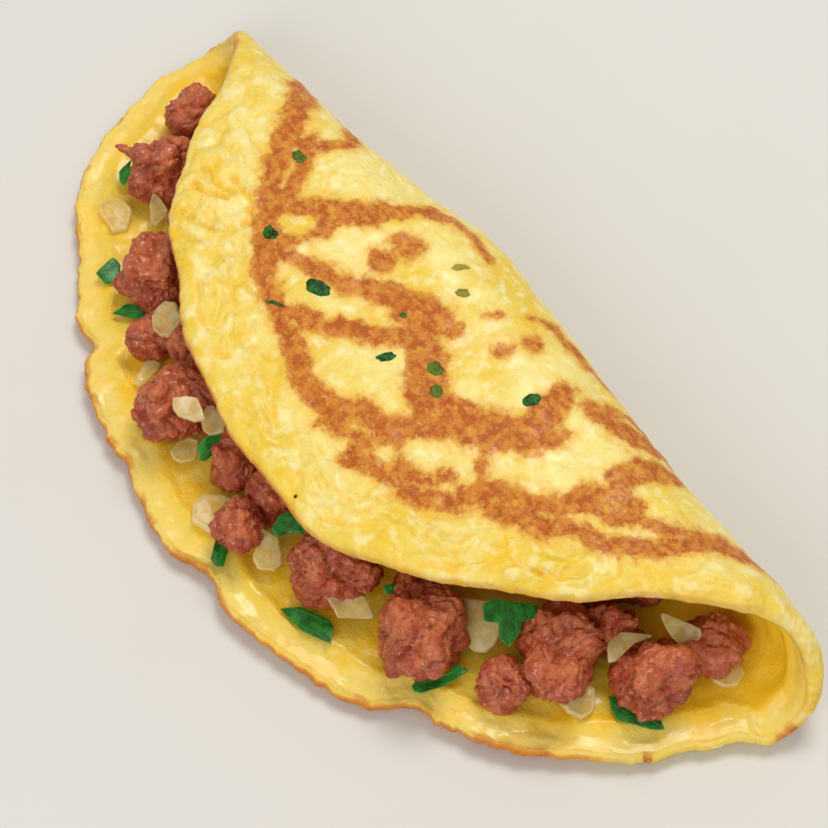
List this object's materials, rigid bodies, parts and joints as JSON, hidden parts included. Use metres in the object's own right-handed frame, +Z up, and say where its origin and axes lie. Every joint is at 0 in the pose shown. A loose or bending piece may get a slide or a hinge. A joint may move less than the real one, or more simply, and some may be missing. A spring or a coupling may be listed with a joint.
{
  "type": "folded omelette",
  "caption": "Half-moon folded egg omelette with browned patches and a filling of sausage crumbles, onion and parsley showing along its open side.",
  "frame": {"origin": "on the lower face that the omelette lies on, under the middle of its bounding box", "axes": "+X along the fold, +Y towards the folded back, -Y towards the open mouth, +Z up from the face that it lies on"},
  "size_m": [0.1978, 0.0876, 0.0307],
  "materials": {
    "cooked_egg": "soft, slightly oily, browned in patches",
    "sausage_meat": "moist and granular",
    "cooked_onion": "wet and translucent"
  },
  "bodies": {
    "root": {"egg_sheet": "cooked_egg", "filling_core": "sausage_meat", "sausage_01": "sausage_meat", "sausage_02": "sausage_meat", "sausage_03": "sausage_meat", "sausage_04": "sausage_meat", "sausage_05": "sausage_meat", "sausage_06": "sausage_meat", "sausage_07": "sausage_meat", "sausage_08": "sausage_meat", "sausage_09": "sausage_meat", "sausage_10": "sausage_meat", "sausage_11": "sausage_meat", "sausage_12": "sausage_meat", "sausage_13": "sausage_meat", "sausage_14": "sausage_meat", "sausage_15": "sausage_meat", "sausage_16": "sausage_meat", "onion_01": "cooked_onion", "onion_02": "cooked_onion", "onion_03": "cooked_onion", "onion_04": "cooked_onion", "onion_05": "cooked_onion", "onion_06": "cooked_onion", "onion_07": "cooked_onion", "onion_08": "cooked_onion", "onion_09": "cooked_onion", "onion_10": "cooked_onion", "onion_11": "cooked_onion", "onion_12": "cooked_onion", "onion_13": "cooked_onion", "onion_14": "cooked_onion", "onion_15": "cooked_onion"}
  },
  "joints": []
}
